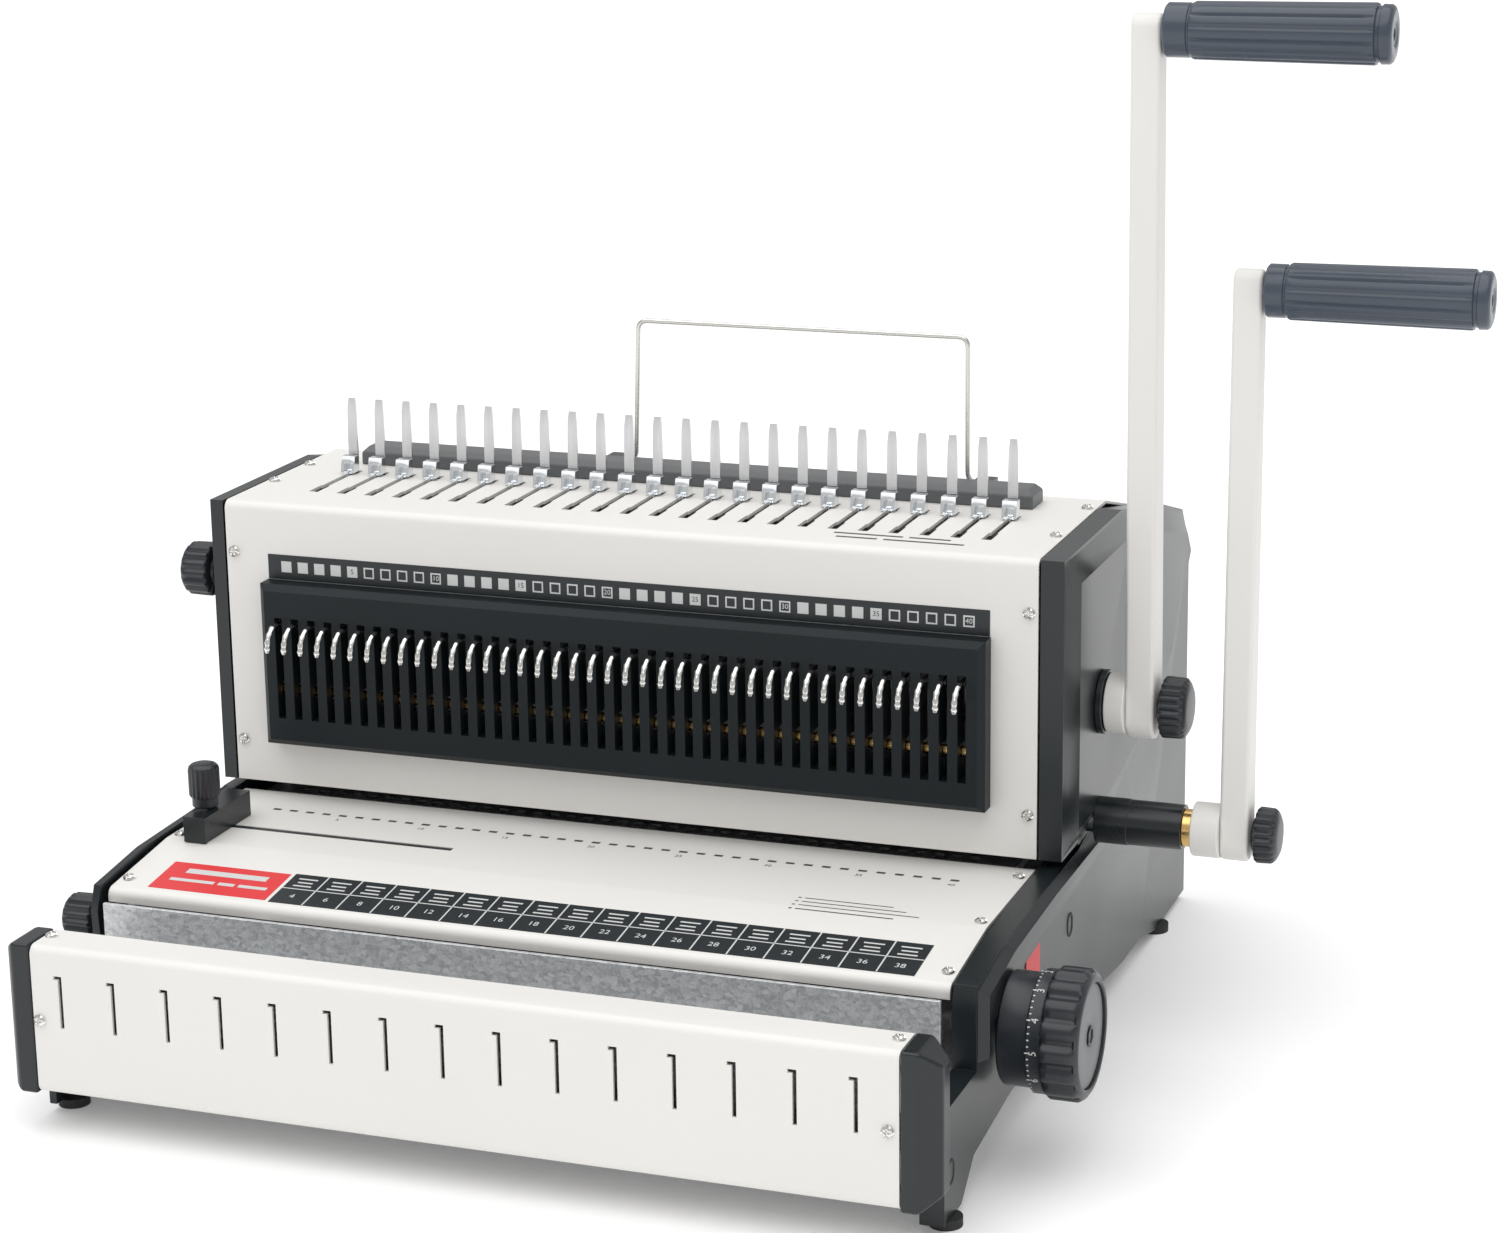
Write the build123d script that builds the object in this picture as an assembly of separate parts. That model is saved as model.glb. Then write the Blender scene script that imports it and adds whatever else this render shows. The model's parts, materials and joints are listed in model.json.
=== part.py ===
"""Manual comb and wire binding machine: a table-top punch with two side levers.

X runs along the machine (towards the levers), Y runs from the user to the back, Z is up.
The pieces are laid out about the machine's middle plane, with depths from the front face of
the wire closer's bar and heights from the desk. They are moved together when they are saved,
so that the frame's origin is on the desk, under the middle of the whole. Units: millimetres.
"""
from build123d import *
import os
from math import hypot

# ---- driving dimensions ---------------------------------------------------------------
KNOB_END_X, GRIP_END_X = -232.5, 377.5             # left and right ends of the whole
SCREW_FRONT_Y, PULL_END_Y = -2.0, 453.0            # front and back ends of the whole
FRAME_X, FRAME_Y = (KNOB_END_X + GRIP_END_X) / 2, (SCREW_FRONT_Y + PULL_END_Y) / 2
WIRE_PITCH = 25.4 / 3      # three wire loops to the inch
WIRE_HOLES = 40
COMB_PITCH = 14.2875       # nine sixteenths of an inch
COMB_HOLES = 24
SHEET = 1.5                # painted steel sheet
BEND = 4.0                 # outer radius of its bends
PLATE = 3.0                # steel side plates

COVER_X = 196.0            # half length of the white covers
PLATE_X = 184.0            # inner faces of the steel side plates
PANEL_IN, PANEL_WEB, PANEL_OUT = 197.0, 207.5, 212.0
PANEL_LEFT_RAIL, PANEL_LEFT_WEB, PANEL_LEFT_OUT = 200.5, 203.5, 206.0
BAR_LEFT, BAR_RIGHT = -191.6, 195.6

BAR_DEPTH = 21.5           # front bar of the wire closer
BAR_Z0, BAR_Z1 = 19.0, 86.0
JAW_Y = 64.0               # front face of the closing jaw at rest
JAW_TRAVEL = 32.0
DECK_FRONT, DECK_CREASE, DECK_BACK = 72.0, 126.0, 203.0
DECK_LIP_Z, DECK_FRONT_Z, DECK_Z = 81.0, 86.9, 93.4
HOUSE_Y = 199.5            # front face of the punch housing
HOUSE_Z0, HOUSE_Z1 = 99.4, 235.0
THROAT_END = 228.0         # how deep the paper goes
REAR_Y = 441.0

UPPER_Y, UPPER_Z, UPPER_R = UPPER = 250.0, 159.0, 8.0      # punching lever's shaft
LOWER_Y, LOWER_Z, LOWER_R = LOWER = 246.7, 104.8, 6.0      # wire closing lever's shaft
UPPER_GRIP_Y, UPPER_GRIP_Z, LOWER_GRIP_Z = 239.0, 457.5, 348.0
DIAL_Y, DIAL_Z, DIAL_R = DIAL = 100.0, 61.0, 4.0           # wire size dial's shaft
MARGIN_Y, MARGIN_Z, MARGIN_R = MARGIN = 212.0, 198.0, 3.0  # margin depth knob's shaft
RUN = 0.05                 # radial clearance of a running fit
STAND_Y, STAND_Z, STAND_R = 311.0, 240.5, 1.2      # wire paper support's pivot

WIRE_ROW_Y, COMB_ROW_Y = 209.0, 218.0              # the two rows of punches
BEAM_Z0, BEAM_Z1, PUNCH_TIP_Z = 124.0, 146.0, 100.2
GUIDE_PIN_X, GUIDE_PIN_Y, GUIDE_PIN_R = 176.0, 213.5, 4.0
GUIDE_KNOB_X, GUIDE_KNOB_Y = -181.0, 139.0         # lock knob of the edge guide
HOOK_Z = 181.0             # where the wire hooks leave the housing


# ---- small shape helpers ----------------------------------------------------------------
def save(name, part):
    """Write one node, moved into the part's frame."""
    export_step(Pos(-FRAME_X, -FRAME_Y, 0) * part, f"parts/{name}.step")


def block(x0, x1, y0, y1, z0, z1):
    """A box between two corners."""
    return Pos((x0 + x1) / 2, (y0 + y1) / 2, (z0 + z1) / 2) * Box(x1 - x0, y1 - y0, z1 - z0)


def both_sides(part):
    """A right-hand part together with its mirror image."""
    return part + mirror(part, about=Plane.YZ)


def profile(points, x0, x1):
    """A closed (y, z) outline extruded along X."""
    plane = Plane(origin=(x0, 0, 0), x_dir=(0, 1, 0), z_dir=(1, 0, 0))
    return extrude(plane * make_face(Polyline(*points, close=True)), amount=x1 - x0)


def inset(points, distance):
    """A closed (y, z) outline moved inwards by a distance; its points run clockwise or not."""
    area = sum(ya * zb - yb * za for (ya, za), (yb, zb) in zip(points, points[1:] + points[:1]))
    side = distance if area > 0 else -distance
    moved = []
    for i, (y, z) in enumerate(points):
        (ya, za), (yb, zb) = points[i - 1], points[(i + 1) % len(points)]
        in_run, out_run = hypot(y - ya, z - za), hypot(yb - y, zb - z)
        n0 = (-(z - za) / in_run, (y - ya) / in_run)
        n1 = (-(zb - z) / out_run, (yb - y) / out_run)
        scale = side / (1 + n0[0] * n1[0] + n0[1] * n1[1])
        moved.append((y + (n0[0] + n1[0]) * scale, z + (n0[1] + n1[1]) * scale))
    return moved


def raised(points, x0, x1, distance):
    """A pad whose sides slope in by a distance between two X planes."""
    outer = Plane(origin=(x0, 0, 0), x_dir=(0, 1, 0), z_dir=(1, 0, 0))
    inner = Plane(origin=(x1, 0, 0), x_dir=(0, 1, 0), z_dir=(1, 0, 0))
    return loft([outer * make_face(Polyline(*points, close=True)),
                 inner * make_face(Polyline(*inset(points, distance), close=True))], ruled=True)


def sheet(points, x0, x1, bend=BEND, thickness=SHEET):
    """A bent sheet along open (y, z) points that turn right; its thickness is on that side."""
    normals = []
    for (ya, za), (yb, zb) in zip(points, points[1:]):
        run = hypot(yb - ya, zb - za)
        normals.append(((zb - za) / run, -(yb - ya) / run))
    offset_points = []
    for i, (y, z) in enumerate(points):
        before, after = normals[max(i - 1, 0)], normals[min(i, len(normals) - 1)]
        scale = thickness / (1 + before[0] * after[0] + before[1] * after[1])
        offset_points.append((y + (before[0] + after[0]) * scale, z + (before[1] + after[1]) * scale))
    face = make_face(Polyline(*points, *offset_points[::-1], close=True))
    for corners, radius in ((points[1:-1], bend), (offset_points[1:-1], bend - thickness)):
        for corner in corners:
            at = Vector(*corner)
            face = fillet(face.vertices().sort_by(lambda v: (Vector(*v) - at).length)[0], radius)
    plane = Plane(origin=(x0, 0, 0), x_dir=(0, 1, 0), z_dir=(1, 0, 0))
    return extrude(plane * face, amount=x1 - x0)


def rod(y, z, radius, x0, x1):
    """A cylinder along X."""
    return Pos((x0 + x1) / 2, y, z) * Rot(0, 90, 0) * Cylinder(radius, x1 - x0)


def tube(y, z, outer, inner, x0, x1):
    """A hollow cylinder along X."""
    return rod(y, z, outer, x0, x1) - rod(y, z, inner, x0 - 1, x1 + 1)


def fluted(y, z, radius, x0, x1, flutes, depth):
    """A knob along X with round flutes around its rim."""
    body = rod(y, z, radius, x0, x1)
    ring = PolarLocations(radius + depth * 0.6, flutes)
    frame = Pos((x0 + x1) / 2, y, z) * Rot(0, 90, 0)
    cuts = [frame * place * Cylinder(depth * 1.6, (x1 - x0) * 2) for place in ring]
    return body - Compound(cuts)


def row(pitch, count):
    """Evenly spaced X positions about the middle plane."""
    return [(i - (count - 1) / 2) * pitch for i in range(count)]


def screw(position, direction, head=2.9, shank=1.5, length=7.0):
    """A pan head screw: the head stands on the surface and the shank goes in."""
    plane = Plane(origin=position, z_dir=direction)
    return plane * (Pos(0, 0, 1.0) * Cylinder(head, 2.0)) + plane * (Pos(0, 0, -length / 2) * Cylinder(shank, length))


def deck_height(y):
    """Height of the deck's top face, which slopes up to the crease."""
    if y >= DECK_CREASE:
        return DECK_Z
    return DECK_FRONT_Z + (DECK_Z - DECK_FRONT_Z) * (y - DECK_FRONT) / (DECK_CREASE - DECK_FRONT)


# ---- screws, made first so that the sheets can be drilled for them -----------------------
def make_screws():
    front = [(-188.5, 0, 52.6), (191, 0, 52.6)]
    bar_top = [(-188.4, 13.5, BAR_Z1), (191.5, 13.5, BAR_Z1)]
    house = [(s * 192, HOUSE_Y, z) for s in (-1, 1) for z in (119.5, 211.0)]
    deck = [(s * 190.5, y, DECK_Z) for s in (-1, 1) for y in (131.5, 191.0)]
    deck += [(s * 190.5, 84.0, deck_height(84.0)) for s in (-1, 1)]
    top = [(192, 298, HOUSE_Z1), (-192, 280, HOUSE_Z1), (-192, 243, HOUSE_Z1), (192, 243, HOUSE_Z1)]
    return Compound([screw(p, (0, -1, 0)) for p in front + house]
                    + [screw(p, (0, 0, 1), length=5.0) for p in bar_top + deck + top])


# ---- fixed structure ----------------------------------------------------------------------
def bores(shafts, x0, x1):
    """Running bores for a list of shafts."""
    return Compound([rod(y, z, radius + RUN, x0, x1) for y, z, radius in shafts])


def side_plate(shafts):
    """Right steel side plate, with the throat notched out of its front edge."""
    outline = [(72, 12), (432, 12), (432, 184), (378, 208), (312, 230), (203, 230),
               (203, HOUSE_Z0 + 1), (THROAT_END, HOUSE_Z0 + 1), (THROAT_END, DECK_Z - 2),
               (DECK_CREASE, DECK_Z - 2), (76, 84)]
    plate = profile(outline, PLATE_X, PLATE_X + PLATE)
    return plate - bores(shafts, PLATE_X - 5, PLATE_X + 10)


def side_panel(shafts, web, out):
    """Side moulding: a web over the whole side with a raised pad and a raised rail."""
    outline = [(22, 4), (22, 53), (68, 53), (66, 78), (70, 89), (109, 94), (175, 95.6),
               (THROAT_END, 95.6), (THROAT_END, 99.2), (HOUSE_Y, 99.2), (HOUSE_Y, HOUSE_Z1),
               (300, HOUSE_Z1), (382, 219), (424, 207), (440, 186), (443, 4), (380, 4),
               (349, 11.4), (315, 11.2), (268, 16.3), (119, 23.6), (64, 18), (46, 4)]
    pad = [(HOUSE_Y + 2, 101), (HOUSE_Y + 2, 233), (300, 233), (382, 217), (423, 205.5),
           (438, 186), (393, 137), (330, 112), (262, 101)]
    rail = [(69, 56), (69, 87), (110, 93), (175, 95.4), (270, 95.4), (255, 84), (191, 82), (125, 78),
            (88, 72), (78, 56)]
    panel = profile(outline, PANEL_IN, web)
    panel += raised(pad, web, out, 10.0)
    panel += raised(rail, web, out, 2.0)
    return panel - bores(shafts, PANEL_IN - 5, out + 5)


def make_structure(screws):
    left_panel = side_panel([DIAL, MARGIN], PANEL_LEFT_WEB, PANEL_LEFT_OUT)
    beside_deck = block(PANEL_LEFT_RAIL, PANEL_LEFT_OUT + 1, 0, HOUSE_Y - 2, 0, HOUSE_Z0 + 5)
    feet = [Pos(x, y, 2) * Cylinder(7.0, 4.0) for x in (-195.5, 204.5) for y in (34, 392)]
    return {
        "base_plate": block(-PLATE_X, PLATE_X, 76, 430, 8, 10) + both_sides(block(153, 161, 130, 425, 10, 20)),
        "side_plate_right": side_plate([UPPER, LOWER, DIAL]),
        "side_plate_left": mirror(side_plate([UPPER, LOWER, DIAL, MARGIN]), about=Plane.YZ),
        "side_panel_right": side_panel([UPPER, LOWER, DIAL], PANEL_WEB, PANEL_OUT),
        "side_panel_left": mirror(left_panel - beside_deck, about=Plane.YZ),
        "rubber_feet": Compound(feet),
        "deck_plate": deck_plate(screws),
        "upper_cover": upper_cover(screws),
        "rear_cover": rear_cover(),
        "lower_die": die_plate(DECK_Z - 6.4, DECK_Z),
        "upper_die": die_plate(HOUSE_Z0, HOUSE_Z0 + 4.6),
        "beam_guide_pins": both_sides(Pos(GUIDE_PIN_X, GUIDE_PIN_Y, 132) * Cylinder(GUIDE_PIN_R, 56)),
    }


def deck_plate(screws):
    """White deck: a front lip, a gentle slope and a flat part, with the edge guide's slot."""
    points = [(DECK_FRONT, DECK_LIP_Z), (DECK_FRONT, DECK_FRONT_Z), (DECK_CREASE, DECK_Z), (DECK_BACK, DECK_Z)]
    deck = sheet(points, -194.7, 194.7)
    slot = block(-185, -62.7, 148.4, 152.4, DECK_Z - 5, DECK_Z + 5)
    return deck - slot - screws


def upper_cover(screws):
    """White housing cover with a window for the hooks and one slot for each comb finger."""
    points = [(HOUSE_Y, HOUSE_Z0), (HOUSE_Y, HOUSE_Z1), (316, HOUSE_Z1)]
    cover = sheet(points, -COVER_X, COVER_X)
    cover -= block(-172, 172, HOUSE_Y - 1, HOUSE_Y + 3, 130, 190)
    for x in row(COMB_PITCH, COMB_HOLES):
        cover -= block(x - 1.6, x + 1.6, 240, 272, HOUSE_Z1 - 5, HOUSE_Z1 + 5)
        cover -= block(x - 2.3, x + 2.3, 228, 241, HOUSE_Z1 - 5, HOUSE_Z1 + 5)
        cover -= block(x - 3.2, x + 3.2, 269, 275, HOUSE_Z1 - 5, HOUSE_Z1 + 5)
    return cover - screws


def rear_cover():
    """White sheet down the back, open at the bottom for the chip tray."""
    points = [(316.5, HOUSE_Z1), (381, 218), (422, 205), (438, 185), (REAR_Y, 12)]
    cover = sheet(points, -COVER_X, COVER_X, bend=9.0)
    return cover - block(-156, 156, 425, 450, 5, 53)


def die_plate(z0, z1):
    """Steel die plate pierced for both rows of punches."""
    plate = block(-PLATE_X, PLATE_X, DECK_BACK, THROAT_END, z0, z1)
    holes = [block(x - 2.3, x + 2.3, WIRE_ROW_Y - 2.3, WIRE_ROW_Y + 2.3, z0 - 1, z1 + 1)
             for x in row(WIRE_PITCH, WIRE_HOLES)]
    holes += [block(x - 4.3, x + 4.3, COMB_ROW_Y - 1.8, COMB_ROW_Y + 1.8, z0 - 1, z1 + 1)
              for x in row(COMB_PITCH, COMB_HOLES)]
    pins = both_sides(Pos(GUIDE_PIN_X, GUIDE_PIN_Y, HOUSE_Z0 + 32) * Cylinder(GUIDE_PIN_R, 56))
    return plate - Compound(holes) - pins


# ---- wire closer at the front -----------------------------------------------------------------
def make_closer(screws):
    points = [(BAR_DEPTH, BAR_Z0), (0, BAR_Z0), (0, BAR_Z1), (BAR_DEPTH, BAR_Z1)]
    cover = sheet(points, BAR_LEFT, BAR_RIGHT)
    slots = []
    for x in row(25.4, 15):
        slots.append(block(x - 0.9, x + 0.9, -1, 3, 49.9, 73.5))
        slots.append(block(x - 2.9, x - 0.9, -1, 3, 71.9, 73.5))
    cap = [(-0.5, BAR_Z0 - 0.5), (-0.5, BAR_Z1 + 0.5), (21.8, BAR_Z1 + 0.5), (21.8, BAR_Z0 - 0.5)]
    right_end = profile(cap, PANEL_IN - 1, PANEL_IN + 6.5) + raised(cap, PANEL_IN + 6.5, PANEL_OUT, 6.5)
    left_end = profile(cap, -BAR_LEFT + 0.4, PANEL_LEFT_RAIL) + raised(cap, PANEL_LEFT_RAIL, PANEL_LEFT_WEB, 2.5)
    jaw = block(-193, 193, JAW_Y, JAW_Y + 2, 53.5, 83.0)
    rods = both_sides(block(114, 124, JAW_Y + 2, 196, 68.5, 78.5))
    guide = block(109, 129, 140, 160, 66, DECK_Z - SHEET) - block(113.7, 124.3, 135, 165, 68.2, 78.8)
    return {
        "front_bar_cover": cover - Compound(slots) - screws,
        "front_bar_core": block(-185, 185, 9, BAR_DEPTH, 22, 83),
        "front_bar_cap_right": right_end,
        "front_bar_cap_left": mirror(left_end, about=Plane.YZ),
        "channel_floor": block(-195, 195, 22, 71, 49.5, 51.0),
        "jaw_guides": both_sides(guide),
        "jaw_plate": jaw,
        "jaw_push_rods": rods + block(-130, 130, 196, 204, 68.5, 78.5),
    }


# ---- wire hooks, spacing label and comb fingers ------------------------------------------------
def make_hooks():
    body = block(-175, 175, 188, HOUSE_Y, 121.5, 199)
    front = body.faces().sort_by(Axis.Y)[0]
    panel = chamfer(front.edges(), 3.0)
    slots = [block(x - 1.9, x + 1.9, 180, 205, 135, 183.5) for x in row(WIRE_PITCH, WIRE_HOLES)]
    panel -= Compound(slots)
    panel -= block(-173, 173, 193, HOUSE_Y + 1, 143.5, 151)
    path = FilletPolyline([(0, 202, HOOK_Z), (0, 173.4, HOOK_Z), (0, 173.4, 168)], radius=6.0)
    hook = sweep(Plane(origin=path @ 0, z_dir=path % 0) * Circle(1.4), path=path)
    return {
        "hook_panel": panel,
        "wire_hooks": Compound([Pos(x, 0, 0) * hook for x in row(WIRE_PITCH, WIRE_HOLES)]
                               + [block(-172, 172, 202, 205, 175, 187)]),
        "brass_rod": rod(196.4, 147.2, 2.5, -172.5, 172.5),
        "spacing_label": block(-174.5, 174.5, HOUSE_Y - 0.3, HOUSE_Y, 199.3, 211),
    }


def make_comb_station():
    positions = row(COMB_PITCH, COMB_HOLES)
    finger = profile([(271.2, 232), (271.2, 269), (271.7, 271), (272.4, 271), (272.8, 269), (272.8, 232)],
                     -2.5, 2.5)
    hook = block(-1.2, 1.2, 262, 269, 226, 236) + profile(
        [(263.8, 236), (263.8, 241), (266, 243.8), (270.7, 243.8), (270.7, 236)], -3.6, 3.6)
    rest = chamfer(block(-168, 169, 288, 306.5, HOUSE_Z1, 244).edges().group_by(Axis.Z)[-1], 3.0)
    bar = block(-171, 171, 248, 268.5, 216, 226)
    arm = block(146, 154, 236, 262, UPPER_Z + 14.6, 216)
    return {
        "comb_fingers": Compound([Pos(x, 0, 0) * finger for x in positions]
                                 + [block(-176, 176, 269, 276, 220, 232)]),
        "comb_puller": Compound([Pos(x, 0, 0) * hook for x in positions] + [bar + both_sides(arm)]),
        "comb_back_rest": rest,
    }


# ---- punching unit ---------------------------------------------------------------------------------
def make_punch():
    beam = block(-183, 183, 205, 222, BEAM_Z0, BEAM_Z1)
    beam -= both_sides(Pos(GUIDE_PIN_X, GUIDE_PIN_Y, 135) * Cylinder(GUIDE_PIN_R + RUN, 60))
    beam += both_sides(block(136, 144, 222, UPPER_Y - 9.4, 130, 166))
    wire = [block(x - 2, x + 2, WIRE_ROW_Y - 2, WIRE_ROW_Y + 2, PUNCH_TIP_Z, BEAM_Z0)
            for x in row(WIRE_PITCH, WIRE_HOLES)]
    comb = [block(x - 4, x + 4, COMB_ROW_Y - 1.5, COMB_ROW_Y + 1.5, PUNCH_TIP_Z, BEAM_Z0)
            for x in row(COMB_PITCH, COMB_HOLES)]
    spring = Pos(GUIDE_PIN_X, GUIDE_PIN_Y, 114) * (Cylinder(6.0, 20) - Cylinder(4.6, 30))
    return {
        "punch_beam": beam,
        "punch_pins": Compound(wire + comb),
        "beam_springs": both_sides(spring),
    }


# ---- levers ------------------------------------------------------------------------------------------
def lever_arm(x0, x1, foot, top):
    """A flat bar that tapers between two rounded ends, each given as (y, z, radius)."""
    plane = Plane(origin=(x0, 0, 0), x_dir=(0, 1, 0), z_dir=(1, 0, 0))
    (y0, z0, r0), (y1, z1, r1) = foot, top
    ends = Pos(y0, z0) * Circle(r0) + Pos(y1, z1) * Circle(r1)
    bar = extrude(plane * make_hull(ends.edges()), amount=x1 - x0)
    faces = bar.faces().filter_by(Axis.X)
    return chamfer(faces.edges(), 1.0)


def grip(y, z, bore, x0, x1, bore_end):
    """A moulded grip: a thin collar at the lever, a fuller handle with ribs and a dimpled end."""
    body = rod(y, z, 11.4, x0, x0 + 11) + fluted(y, z, 13.0, x0 + 11, x1 - 3, 14, 0.4)
    body += rod(y, z, 11.6, x1 - 3, x1)
    return body - rod(y, z, bore + RUN, x0 - 1, bore_end) - rod(y, z, 2.5, x1 - 1.2, x1 + 1)


def make_levers():
    y, z, r = UPPER_Y, UPPER_Z, UPPER_R
    parts = {
        "upper_shaft": rod(y, z, r, -PLATE_X - PLATE, 224.6) + both_sides(rod(y, z, 14.0, 146, 154)),
        "upper_shaft_ring": tube(y, z, 14.5, r + RUN, PANEL_OUT, 215.2),
        "upper_hub": tube(y, z, 13.5, r, 215.6, 224.6),
        "upper_arm": lever_arm(224.6, 237.6, (y, 153.5, 9.5), (UPPER_GRIP_Y, UPPER_GRIP_Z + 0.5, 6.5)),
        "upper_knob": fluted(y, z, 14.0, 238.7, 252.5, 22, 0.7),
        "upper_grip_pin": rod(UPPER_GRIP_Y, UPPER_GRIP_Z, 5.0, 237.6, 331.5),
        "upper_grip": grip(UPPER_GRIP_Y, UPPER_GRIP_Z, 5.0, 238.9, 334.4, 331.7),
    }
    y, z, r = LOWER_Y, LOWER_Z, LOWER_R
    sleeve = tube(y, z, 10.5, r + RUN, PANEL_OUT, 226.9) + tube(y, z, 10.2, r + RUN, 226.9, 251.4)
    parts.update({
        "lower_shaft": rod(y, z, r, -PLATE_X - PLATE, 268.6) + both_sides(rod(y, z, 10.0, 176, 182)),
        "lower_shaft_sleeve": sleeve,
        "lower_shaft_bush": tube(y, z, 8.5, r + RUN, 251.4, 255.6),
        "lower_hub": tube(y, z, 12.2, r, 256.0, 268.6),
        "lower_arm": lever_arm(268.6, 281.4, (y, 100.2, 8.0), (y, LOWER_GRIP_Z + 3.5, 5.5)),
        "lower_knob": fluted(y, z, 12.6, 282.5, 294.5, 20, 0.7),
        "lower_grip_pin": rod(y, LOWER_GRIP_Z, 3.5, 281.4, 374.5),
        "lower_grip": grip(y, LOWER_GRIP_Z, 3.5, 282.8, GRIP_END_X, 374.7),
    })
    return parts


# ---- dials and knobs on the sides -------------------------------------------------------------------
def make_dials():
    y, z, r = DIAL_Y, DIAL_Z, DIAL_R
    drum = rod(y, z, 24.0, PANEL_OUT + 0.6, 225.5) + rod(y, z, 26.0, 225.5, 231.5)
    dial = drum + fluted(y, z, 27.8, 231.5, 247.6, 16, 1.6)
    dial -= rod(y, z, 23.0, 245.4, 250)
    dial -= rod(y, z, r, 200, 236)
    my, mz, mr = MARGIN_Y, MARGIN_Z, MARGIN_R
    pointer = [(141, 58), (141, 77), (163, 77), (163, 62), (152, 55)]
    return {
        "size_dial": dial,
        "dial_shaft": rod(y, z, r, -228.0, 236.0) + both_sides(rod(y, z - 1.5, 6.5, 126, 132)),
        "dial_knob_left": fluted(y, z, 11.0, KNOB_END_X, -215.0, 16, 0.7) - rod(y, z, r, -228, -205),
        "margin_knob": fluted(my, mz, 13.0, -223.5, -206.8, 16, 0.7) - rod(my, mz, mr, -216, -200),
        "margin_shaft": rod(my, mz, mr, -216.0, -160.0),
        "dial_pointer_label": profile(pointer, PANEL_WEB, PANEL_WEB + 0.4),
    }


# ---- deck furniture ------------------------------------------------------------------------------------
def deck_label(x0, x1, y0, y1):
    """A thin label lying on the deck between two depths."""
    top = [(y0, deck_height(y0)), (y1, deck_height(y1))]
    return profile([top[0], top[1], (y1, top[1][1] + 0.2), (y0, top[0][1] + 0.2)], x0, x1)


def make_deck_furniture():
    guide = block(-184, -173, 123, 167, DECK_Z + 0.1, 105.5) + block(-182, -174, 148.8, 152, 92, DECK_Z + 0.1)
    guide -= Pos(GUIDE_KNOB_X, GUIDE_KNOB_Y, 101.5) * Cylinder(2.05, 9)
    knob = Pos(GUIDE_KNOB_X, GUIDE_KNOB_Y, 116.3) * Cylinder(7.2, 20.4)
    knob += Pos(GUIDE_KNOB_X, GUIDE_KNOB_Y, 102.5) * Cylinder(2.0, 8)
    tray = block(-150, 150, 120, REAR_Y - 1, 12, 46) - block(-148, 148, 122, REAR_Y - 3, 14, 50)
    tray += block(-154, 154, REAR_Y - 1, REAR_Y + 2, 12, 51)
    tray += block(-40, 40, REAR_Y + 2, PULL_END_Y, 28, 34)
    ends = FilletPolyline([(-48, STAND_Y, STAND_Z), (-33.5, STAND_Y, STAND_Z), (-31.0, STAND_Y, 308.5),
                           (131.5, STAND_Y, 308.5), (131.5, STAND_Y, STAND_Z), (146, STAND_Y, STAND_Z)], radius=4.0)
    stand = sweep(Plane(origin=ends @ 0, z_dir=ends % 0) * Circle(STAND_R), path=ends)
    clips = [block(x, x + 9, 307, 315, HOUSE_Z1, 243) - rod(STAND_Y, STAND_Z, STAND_R + RUN, x - 1, x + 10)
             for x in (-47, 136)]
    return {
        "size_table_label": deck_label(-118, 178, 77, 105),
        "title_label": deck_label(-178, -120, 78, 104),
        "edge_guide": guide,
        "guide_knob": knob,
        "chip_tray": tray,
        "paper_stand": stand,
        "stand_clips": Compound(clips),
    }


def main():
    os.makedirs("parts", exist_ok=True)
    screws = make_screws()
    pieces = {"machine_screws": screws}
    pieces.update(make_structure(screws))
    pieces.update(make_closer(screws))
    pieces.update(make_hooks())
    pieces.update(make_comb_station())
    pieces.update(make_punch())
    pieces.update(make_levers())
    pieces.update(make_dials())
    pieces.update(make_deck_furniture())
    for name, part in pieces.items():
        save(name, part)
    print(len(pieces), "nodes written")


main()
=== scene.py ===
# %% [markdown]
# # A comb and wire binding machine
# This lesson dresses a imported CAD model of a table-top punch and binder. The CAD holds every size and
# every joint. Blender adds softened edges, turned knobs, ribbed grips, printed labels and materials.
# Lengths in these cells are millimetres laid out from the machine's middle plane, from the front bar's
# face and from the desk. One helper turns them into the frame's metres.

# %% load the frame
import bpy
import bmesh
import json
from math import atan2, cos, hypot, pi, radians, sin
from mathutils import Matrix, Vector


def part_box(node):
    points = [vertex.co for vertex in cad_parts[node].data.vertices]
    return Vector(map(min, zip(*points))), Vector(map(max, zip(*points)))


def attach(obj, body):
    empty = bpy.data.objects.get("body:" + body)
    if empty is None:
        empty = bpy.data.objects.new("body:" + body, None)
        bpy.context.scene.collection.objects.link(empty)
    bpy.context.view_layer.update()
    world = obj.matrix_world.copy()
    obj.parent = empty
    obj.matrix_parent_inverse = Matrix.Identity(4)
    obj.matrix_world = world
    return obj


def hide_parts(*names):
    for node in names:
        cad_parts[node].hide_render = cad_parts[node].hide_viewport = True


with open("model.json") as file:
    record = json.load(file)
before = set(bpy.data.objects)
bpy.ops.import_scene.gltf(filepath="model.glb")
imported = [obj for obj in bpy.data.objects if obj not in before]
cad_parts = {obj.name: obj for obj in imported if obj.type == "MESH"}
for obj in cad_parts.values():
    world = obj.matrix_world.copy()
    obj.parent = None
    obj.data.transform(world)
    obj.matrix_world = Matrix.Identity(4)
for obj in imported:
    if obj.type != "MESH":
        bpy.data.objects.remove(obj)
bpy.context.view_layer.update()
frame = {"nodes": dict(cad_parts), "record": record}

scene = bpy.context.scene
deck_low, deck_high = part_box("deck_plate")
MIDDLE_X = (deck_low.x + deck_high.x) / 2
FRONT_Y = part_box("front_bar_cover")[0].y
print("nodes", len(frame["nodes"]), "middle", round(MIDDLE_X, 4), "front", round(FRONT_Y, 4))


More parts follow.
